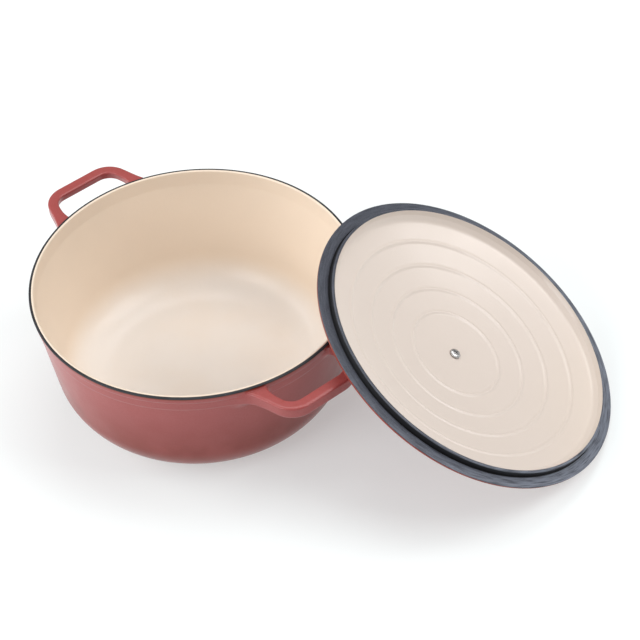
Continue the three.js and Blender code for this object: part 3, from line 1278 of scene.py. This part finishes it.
    def _soften(self, mesh: bpy.types.Mesh, shapes: Sequence[BVHTree], top: float) -> None:
        """Rounds the crease between the wall and each handle.

        Each point near a crease is moved to where the distance to the wall and the distance to
        the handle, blended smoothly, come to zero, and the points are evened out between moves.

        Args:
            mesh: The open skin.
            shapes: The handles' surfaces.
            top: The height at which the skin ends.
        """
        work = bmesh.new()
        work.from_mesh(mesh)
        band = []
        reach = self.fillet * self.band_share
        for v in work.verts:
            wall, _ = self._wall_distance(v.co)
            loop, _ = self._loop_distance(v.co, shapes)
            if abs(wall) < reach and loop < reach and v.co.z < top - self.edge_guard:
                band.append(v)
        for _ in range(self.smoothing_rounds):
            bmesh.ops.smooth_vert(
                work, verts=band, factor=0.5, use_axis_x=True, use_axis_y=True, use_axis_z=True
            )
            for v in band:
                for _ in range(self.settling_moves):
                    v.co -= self._blend_step(v.co, shapes)
        work.to_mesh(mesh)
        work.free()

    def _wall_distance(self, point: Vector) -> tuple[float, Vector]:
        """How far a point lies from the wall.

        Args:
            point: The point.

        Returns:
            The distance outside the wall, and the way straight off it.
        """
        flat = math.hypot(point.x, point.y)
        slope = math.hypot(1.0, self.taper)
        away = Vector((point.x / flat, point.y / flat, -self.taper)) / slope
        return (flat - self.wall_radius(point.z)) / slope, away

    def _loop_distance(self, point: Vector, shapes: Sequence[BVHTree]) -> tuple[float, Vector]:
        """How far a point lies from the nearest handle.

        Args:
            point: The point.
            shapes: The handles' surfaces.

        Returns:
            The distance, and the way straight off the handle.
        """
        best = (math.inf, Vector((0.0, 0.0, 1.0)))
        for shape in shapes:
            near, normal, _, distance = shape.find_nearest(point)
            if distance < best[0]:
                away = (point - near) / distance if distance > self.touching else normal
                best = (distance, away)
        return best

    def _blend_step(self, point: Vector, shapes: Sequence[BVHTree]) -> Vector:
        """How far off the rounded surface a point lies.

        Args:
            point: The point.
            shapes: The handles' surfaces.

        Returns:
            The move from the rounded surface to the point.
        """
        wall, wall_away = self._wall_distance(point)
        loop, loop_away = self._loop_distance(point, shapes)
        crease_top = self.handles[0].top - self.crease_drop
        depth = self._smooth((crease_top - point.z) / self.deepening)
        reach = self.crease + (self.fillet - self.crease) * depth
        share = 0.5 + 0.5 * (loop - wall) / reach
        share = min(1.0, max(0.0, share))
        value = loop * (1 - share) + wall * share - reach * share * (1 - share)
        slope = loop_away * (1 - share) + wall_away * share
        return slope * (value / max(self.least_slope, slope.length_squared))

    def make_inner_enamel(self) -> bpy.types.Object:
        """The cream coat inside the pot, turned over the inner edge of the rim.

        Returns:
            The coat.
        """
        rim = self.rim_radius - self.wall
        lip = self.rim_radius - self.bare_width - self.clearance
        crest = self.height
        edge = Outline.rounded([
            Corner(rim, crest - self.shoulder),
            Corner(rim + 0.0002, crest, 0.0018),
            Corner(lip, crest, 0.0002),
            Corner(lip, crest - self.enamel, 0.0001),
            Corner(rim + self.enamel, crest - self.enamel, 0.0004),
            Corner(rim + self.enamel, crest - self.shoulder - self.enamel),
        ], self.rim_step)
        front = self.inside(0.0)
        back = list(reversed(self.inside(self.enamel)))
        outline = [*front[:-1], *edge, *back[1:]]
        return self.lathe.turn("pot_cream_enamel", outline, self.segments)

    def build(self) -> list[tuple[bpy.types.Object, str, str]]:
        """Builds the pot's pieces.

        Returns:
            For each piece: the object, its CAD node and the name of its finish.
        """
        return [
            (self.make_casting(), "pot_casting", "bare_iron"),
            (self.make_outer_enamel(), "pot_outer_enamel", "pot_rose"),
            (self.make_inner_enamel(), "pot_inner_enamel", "pot_cream"),
        ]


# ------------------------------------------------------------------------------ lid


@dataclass
class Lid:
    """The lid, its knob and its screw, drawn with the seat at height 0 and the knob up."""

    lathe: Lathe
    placement: Matrix
    radius: float = 0.1421
    flange_edge: float = 0.0008
    seat_inner: float = 0.1325
    lip_radius: float = 0.1320
    lip_height: float = 0.0057
    lip_inner: float = 0.1295
    lip_bevel: float = 0.0003
    dome_foot: float = 0.1246
    dome_depth: float = 0.0215
    dome_radius: float = 0.415
    crown_radius: float = 0.440
    thickness: float = 0.0039
    enamel: float = 0.00045
    clearance: float = 0.00015
    ring_radii: tuple[float, ...] = (0.0418, 0.0634, 0.0851, 0.1068)
    ring_height: float = 0.0008
    ring_half_width: float = 0.0025
    bore: float = 0.0029
    knob_height: float = 0.030
    knob_radius: float = 0.0205
    knob_stem: float = 0.0086
    knob_foot: float = 0.0110
    screw_radius: float = 0.0025
    head_radius: float = 0.00475
    head_height: float = 0.0025
    screw_length: float = 0.014
    recess_turn: float = 0.4
    recess_mouth: tuple[float, float, float] = (0.0058, 0.0012, -0.0006)
    recess_end: tuple[float, float, float] = (0.0026, 0.0007, 0.0017)
    segments: int = 240
    step: float = 0.0010
    crown_end: float = 0.0040
    ring_steps: int = 210
    plain_steps: int = 40
    crown_steps: int = 60
    knob_segments: int = 128
    screw_segments: int = 64

    def dome(self, r: float) -> float:
        """Height of the underside's dome at a radius."""
        return self.dome_depth - r * r / (2 * self.dome_radius)

    def crown(self, r: float) -> float:
        """Height of the outside's crown at a radius."""
        return self.dome_depth + self.thickness - r * r / (2 * self.crown_radius)

    def underside(self, lift: float, rings: bool) -> list[Vector]:
        """The underside from the bore out to the lip.

        Args:
            lift: How far the surface lies inside the enamel's.
            rings: Whether the raised rings stand on it.

        Returns:
            The outline's points, innermost first.
        """
        points = []
        steps = self.ring_steps if rings else self.plain_steps
        for i in range(steps + 1):
            r = self.bore + 0.0001 + (self.dome_foot - 0.004 - self.bore) * i / steps
            z = self.dome(r) + lift
            if rings:
                z -= self._ring(r)
            points.append(Vector((r, z)))
        foot = points[-1]
        lip = self.lip_inner - self.lip_bevel + lift
        corners = [
            Corner(foot.x, foot.y),
            Corner(self.dome_foot + lift * 0.3, self.dome(self.dome_foot) + lift, 0.008),
            Corner(lip - 0.0012, 0.0042 - self.lip_height, 0.002),
            Corner(lip, 0.0012 - self.lip_height),
        ]
        return points + Outline.rounded(corners, self.step)[1:]

    def _ring(self, r: float) -> float:
        """How far a raised ring stands out of the dome.

        Args:
            r: The radius.

        Returns:
            The ring's height there, or 0 between rings.
        """
        for middle in self.ring_radii:
            off = abs(r - middle) / self.ring_half_width
            if off < 1.0:
                return self.ring_height * (0.5 + 0.5 * math.cos(math.pi * off))
        return 0.0

    def make_inner_enamel(self) -> bpy.types.Object:
        """The cream coat on the underside, with its four raised rings.

        Returns:
            The coat.
        """
        front = self.underside(0.0, True)
        back = list(reversed(self.underside(self.enamel, False)))
        lip = self.lip_inner
        edge = Outline.rounded([
            Corner(front[-1].x, front[-1].y),
            Corner(lip, -self.lip_height, 0.0001),
            Corner(lip - self.lip_bevel + self.enamel, -self.lip_height, 0.0001),
            Corner(back[0].x, back[0].y),
        ], self.step)
        outline = [*front[:-1], *edge, *back[1:], front[0].copy()]
        return self.lathe.turn("lid_cream_enamel", outline, self.segments, self.placement)

    def make_casting(self) -> bpy.types.Object:
        """The lid's iron, which shows as the flange, the groove and the lip.

        Returns:
            The casting.
        """
        under = self.enamel + self.clearance
        below = self.underside(under, False)
        edge = self.radius
        last = edge - self.crown_end
        shelf = self.flange_edge
        rim = Outline.rounded([
            Corner(below[-1].x, below[-1].y),
            Corner(self.lip_inner - self.lip_bevel + under, -self.lip_height, 0.0002),
            Corner(self.lip_radius - 0.0001, -self.lip_height, 0.0008),
            Corner(self.lip_radius, 0.0004, 0.0002),
            Corner(self.seat_inner, 0.0004, 0.0002),
            Corner(self.seat_inner + 0.0003, 0.0, 0.0003),
            Corner(edge - 0.0030, -0.0001, 0.0040),
            Corner(edge, 0.0002, 0.0008),
            Corner(edge, shelf, 0.0002),
            Corner(edge - 0.00075, shelf, 0.0001),
            Corner(edge - 0.00075, shelf + 0.0009, 0.0002),
            Corner(last, self.crown(last) - under),
        ], self.step)
        steps = self.plain_steps
        radii = [self.bore + (last - self.bore) * i / steps for i in range(steps, -1, -1)]
        crown = [Vector((r, self.crown(r) - under)) for r in radii]
        outline = [*below[:-1], *rim[:-1], *crown, below[0].copy()]
        return self.lathe.turn("lid_iron", outline, self.segments, self.placement)

    def make_outer_enamel(self) -> bpy.types.Object:
        """The rose coat on the crown, down to the flange's edge.

        Returns:
            The coat.
        """
        last = self.radius - self.crown_end
        first = self.bore + 0.0003
        steps = self.crown_steps
        radii = [first + (last - first) * i / steps for i in range(steps + 1)]
        outside = [Vector((r, self.crown(r))) for r in radii]
        inside = [Vector((r, self.crown(r) - self.enamel)) for r in reversed(radii)]
        skirt = self.radius - 0.0001
        shelf = self.flange_edge
        edge = Outline.rounded([
            Corner(outside[-1].x, outside[-1].y),
            Corner(self.radius - 0.0008, 0.0032, 0.0014),
            Corner(skirt, shelf + 0.0008, 0.0008),
            Corner(skirt, shelf + self.clearance, 0.0001),
            Corner(skirt - self.enamel, shelf + self.clearance, 0.0001),
            Corner(skirt - self.enamel, shelf + 0.00095, 0.0004),
            Corner(inside[0].x, inside[0].y),
        ], self.step)
        outline = [*outside[:-1], *edge, *inside[1:], outside[0].copy()]
        return self.lathe.turn("lid_rose_enamel", outline, self.segments, self.placement)

    def make_knob(self) -> bpy.types.Object:
        """The turned steel knob, with a blind bore for the screw.

        Returns:
            The knob.
        """
        foot = self.crown(0.0) + 0.00025
        top = foot + self.knob_height
        bore = self.screw_radius + 0.0003
        bore_end = foot + 0.0125
        cap = top - 0.0085
        r = self.knob_radius
        outline = Outline.rounded([
            Corner(0.0, bore_end),
            Corner(bore, bore_end, 0.0003),
            Corner(bore, foot, 0.0003),
            Corner(self.knob_foot, foot, 0.0006),
            Corner(self.knob_foot, foot + 0.0022, 0.0008),
            Corner(self.knob_stem - 0.0003, foot + 0.0035, 0.004),
            Corner(self.knob_stem + 0.0002, foot + 0.0130, 0.006),
            Corner(r - 0.0030, cap - 0.0028, 0.0020),
            Corner(r, cap - 0.0010, 0.0024),
            Corner(r, cap + 0.0030, 0.0036),
            Corner(r - 0.0070, cap + 0.0078, 0.010),
            Corner(0.0, top),
        ], 0.0012)
        return self.lathe.turn("lid_knob", outline, self.knob_segments, self.placement)

    def make_screw(self) -> bpy.types.Object:
        """The pan head screw, with a tapered cross recess in its head.

        Returns:
            The screw.
        """
        seat = self.dome_depth - 0.0003
        face = seat - self.head_height
        outline = Outline.rounded([
            Corner(0.0, face),
            Corner(self.head_radius * 0.62, face + 0.0001, 0.002),
            Corner(self.head_radius, face + 0.0011, 0.0014),
            Corner(self.head_radius, seat, 0.0003),
            Corner(self.screw_radius, seat, 0.0003),
            Corner(self.screw_radius, seat + self.screw_length, 0.0006),
            Corner(0.0, seat + self.screw_length),
        ], 0.0008)
        head = self.lathe.turn("screw_blank", outline, self.screw_segments)
        recess = [self._recess_arm(face, angle) for angle in (0.0, math.pi / 2)]
        screw = Workshop.combine("lid_knob_screw", head, recess, "DIFFERENCE")
        screw.data.transform(self.placement)
        return screw

    def _recess_arm(self, face: float, angle: float) -> bpy.types.Object:
        """One arm of the cross recess, a wedge that narrows as it goes in.

        Args:
            face: The height of the head's outer face.
            angle: Which way the arm lies.

        Returns:
            The wedge, as a closed solid.
        """
        work = bmesh.new()
        bmesh.ops.create_cube(work, size=1.0)
        for v in work.verts:
            length, width, depth = self.recess_end if v.co.z > 0 else self.recess_mouth
            v.co = Vector((v.co.x * length, v.co.y * width, face + depth))
        mesh = bpy.data.meshes.new("recess_arm")
        work.to_mesh(mesh)
        work.free()
        mesh.transform(Matrix.Rotation(angle + self.recess_turn, 4, "Z"))
        return Workshop.finished("recess_arm", mesh)

    def build(self) -> list[tuple[bpy.types.Object, str, str]]:
        """Builds the lid's pieces.

        Returns:
            For each piece: the object, its CAD node and the name of its finish.
        """
        return [
            (self.make_casting(), "lid_casting", "lid_iron"),
            (self.make_outer_enamel(), "lid_outer_enamel", "lid_rose"),
            (self.make_inner_enamel(), "lid_inner_enamel", "lid_cream"),
            (self.make_knob(), "knob", "knob_steel"),
            (self.make_screw(), "knob_screw", "screw_steel"),
        ]


# ------------------------------------------------------------------------------ studio


@dataclass
class Softbox:
    """One square studio light, aimed at the middle of the object."""

    name: str
    bearing: float
    elevation: float
    power: float
    distance: float = 2.2
    width: float = 1.3
    aim: Vector = field(default_factory=lambda: Vector((0.05, 0.08, 0.05)))

    def light(self) -> None:
        """Puts the light in the scene."""
        data = bpy.data.lights.new(self.name, "AREA")
        data.size = self.width
        data.energy = self.power
        turn, rise = math.radians(self.bearing), math.radians(self.elevation)
        flat = math.cos(rise)
        away = Vector((math.cos(turn) * flat, math.sin(turn) * flat, math.sin(rise)))
        lamp = bpy.data.objects.new(self.name, data)
        lamp.location = self.aim + away * self.distance
        lamp.rotation_euler = (-away).to_track_quat("-Z", "Y").to_euler()
        bpy.context.scene.collection.objects.link(lamp)


@dataclass
class Studio:
    """The pale floor, the soft lights and the camera."""

    aim: Vector
    bearing: float = math.radians(142.7)
    elevation: float = 0.7836
    roll: float = -0.0608
    distance: float = 1.887
    lens: float = 119.4
    sensor: float = 36.0
    near: float = 0.05
    far: float = 60.0
    floor_size: float = 14.0
    paper: Colour = (0.495, 0.53, 0.53, 1.0)
    glow: float = 0.41
    sky: float = 0.24

    def camera(self) -> None:
        """Makes the scene's camera."""
        flat = Vector((math.cos(self.bearing), math.sin(self.bearing), 0.0))
        ahead = flat * math.cos(self.elevation) - Vector((0.0, 0.0, math.sin(self.elevation)))
        right = ahead.cross(Vector((0.0, 0.0, 1.0))).normalized()
        up = right.cross(ahead)
        side = right * math.cos(self.roll) + up * math.sin(self.roll)
        head = up * math.cos(self.roll) - right * math.sin(self.roll)
        data = bpy.data.cameras.new("studio_camera")
        data.lens = self.lens
        data.sensor_width = self.sensor
        data.clip_start = self.near
        data.clip_end = self.far
        camera = bpy.data.objects.new("studio_camera", data)
        turn = Matrix((side, head, -ahead)).transposed().to_4x4()
        camera.matrix_world = Matrix.Translation(self.aim - ahead * self.distance) @ turn
        bpy.context.scene.collection.objects.link(camera)
        bpy.context.scene.camera = camera

    def floor(self) -> None:
        """Lays the pale floor."""
        half = self.floor_size / 2
        mesh = bpy.data.meshes.new("studio_floor")
        signs = ((-1, -1), (1, -1), (1, 1), (-1, 1))
        mesh.from_pydata([(x * half, y * half, 0.0) for x, y in signs], [], [(0, 1, 2, 3)])
        floor = bpy.data.objects.new("studio_floor", mesh)
        bpy.context.scene.collection.objects.link(floor)
        surface = Surface("studio_paper")
        surface.set(
            Base_Color=self.paper,
            Roughness=0.9,
            Specular_IOR_Level=0.1,
            Emission_Color=WHITE,
            Emission_Strength=self.glow,
        )
        mesh.materials.append(surface.material)

    def lights(self) -> None:
        """Sets the sky light and the softboxes."""
        world = bpy.data.worlds.new("studio_air")
        world.use_nodes = True
        background = world.node_tree.nodes["Background"]
        background.inputs["Color"].default_value = WHITE
        background.inputs["Strength"].default_value = self.sky
        bpy.context.scene.world = world
        for softbox in (
            Softbox("rear", 45.0, 50.0, 26.0),
            Softbox("left", 222.0, 22.0, 26.0),
            Softbox("front", 270.0, 30.0, 27.0),
            Softbox("overhead", 135.0, 70.0, 18.0),
            Softbox("rim", 66.0, 28.0, 5.0, width=0.6),
        ):
            softbox.light()

    def build(self) -> None:
        """Builds the whole studio."""
        self.camera()
        self.floor()
        self.lights()
        bpy.context.scene.view_settings.view_transform = "Standard"


# ------------------------------------------------------------------------------ scene


@dataclass
class DutchOven:
    """The whole object: the pot, and the lid where it leans."""

    lean_centre: Vector = field(default_factory=lambda: Vector((0.17726, 0.14569, 0.07715)))
    lean_tilt: float = 0.5530
    lean_bearing: float = 0.7484

    def leaning(self) -> Matrix:
        """Where the lid's own frame stands as it leans.

        Returns:
            The lid's place, with +X downhill and +Z out through the knob.
        """
        sin_t, cos_t = math.sin(self.lean_tilt), math.cos(self.lean_tilt)
        sin_b, cos_b = math.sin(self.lean_bearing), math.cos(self.lean_bearing)
        downhill = Vector((cos_t * cos_b, cos_t * sin_b, -sin_t))
        outside = Vector((-sin_t * cos_b, -sin_t * sin_b, -cos_t))
        sideways = outside.cross(downhill)
        turn = Matrix((downhill, sideways, outside)).transposed().to_4x4()
        return Matrix.Translation(self.lean_centre) @ turn

    def finishes(self, placement: Matrix) -> dict[str, Any]:
        """The finish of each piece.

        Args:
            placement: Where the lid's own frame stands.

        Returns:
            The finishes, by the names that the pieces know them by.
        """
        return {
            "bare_iron": BareIron(),
            "lid_iron": FlangeIron(placement),
            "pot_rose": RoseEnamel("rose_enamel_pot", 0.1134, 0.1152),
            "lid_rose": RoseEnamel("rose_enamel_lid", 0.0034, 0.0020, placement),
            # The first cream colour is the walls, darker as painted shade; the second is the
            # floor, paler as painted light.
            "pot_cream": CreamEnamel(
                "cream_enamel_pot", (0.735, 0.617, 0.496, 1.0), (0.755, 0.705, 0.655, 1.0), 0.40
            ),
            "lid_cream": CreamEnamel(
                "cream_enamel_lid", (0.664, 0.580, 0.518, 1.0), (0.672, 0.584, 0.510, 1.0), 0.30
            ),
            "knob_steel": TurnedSteel("knob_steel", "knob_steel", placement),
            "screw_steel": TurnedSteel(
                "screw_steel", "screw_steel", placement, (0.50, 0.50, 0.50, 1.0), 0.25, 0.0002
            ),
        }

    def build(self) -> None:
        """Builds, dresses and attaches every piece."""
        placement = self.leaning()
        _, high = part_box("pot_casting")
        lathe = Lathe()
        pot = Pot(lathe, height=high.z, rim_radius=high.y)
        lid = Lid(lathe, placement)
        finishes = self.finishes(placement)
        materials = {name: finish.material() for name, finish in finishes.items()}
        for body, part in ((Body.POT, pot), (Body.LID, lid)):
            for piece, node, finish in part.build():
                Workshop.dress(piece, materials[finish], finishes[finish].slot)
                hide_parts(node)
                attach(piece, body.value)
                faces = len(piece.data.polygons)
                log.info("%s: %d faces, rides on %s", piece.name, faces, body.value)


def main() -> None:
    """Builds the studio and the object."""
    logging.basicConfig(level=logging.INFO, format="%(name)s: %(message)s")
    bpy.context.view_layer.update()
    Studio(aim=Vector((0.0153, 0.1165, 0.0))).build()
    DutchOven().build()


if __name__ == "__main__":
    main()
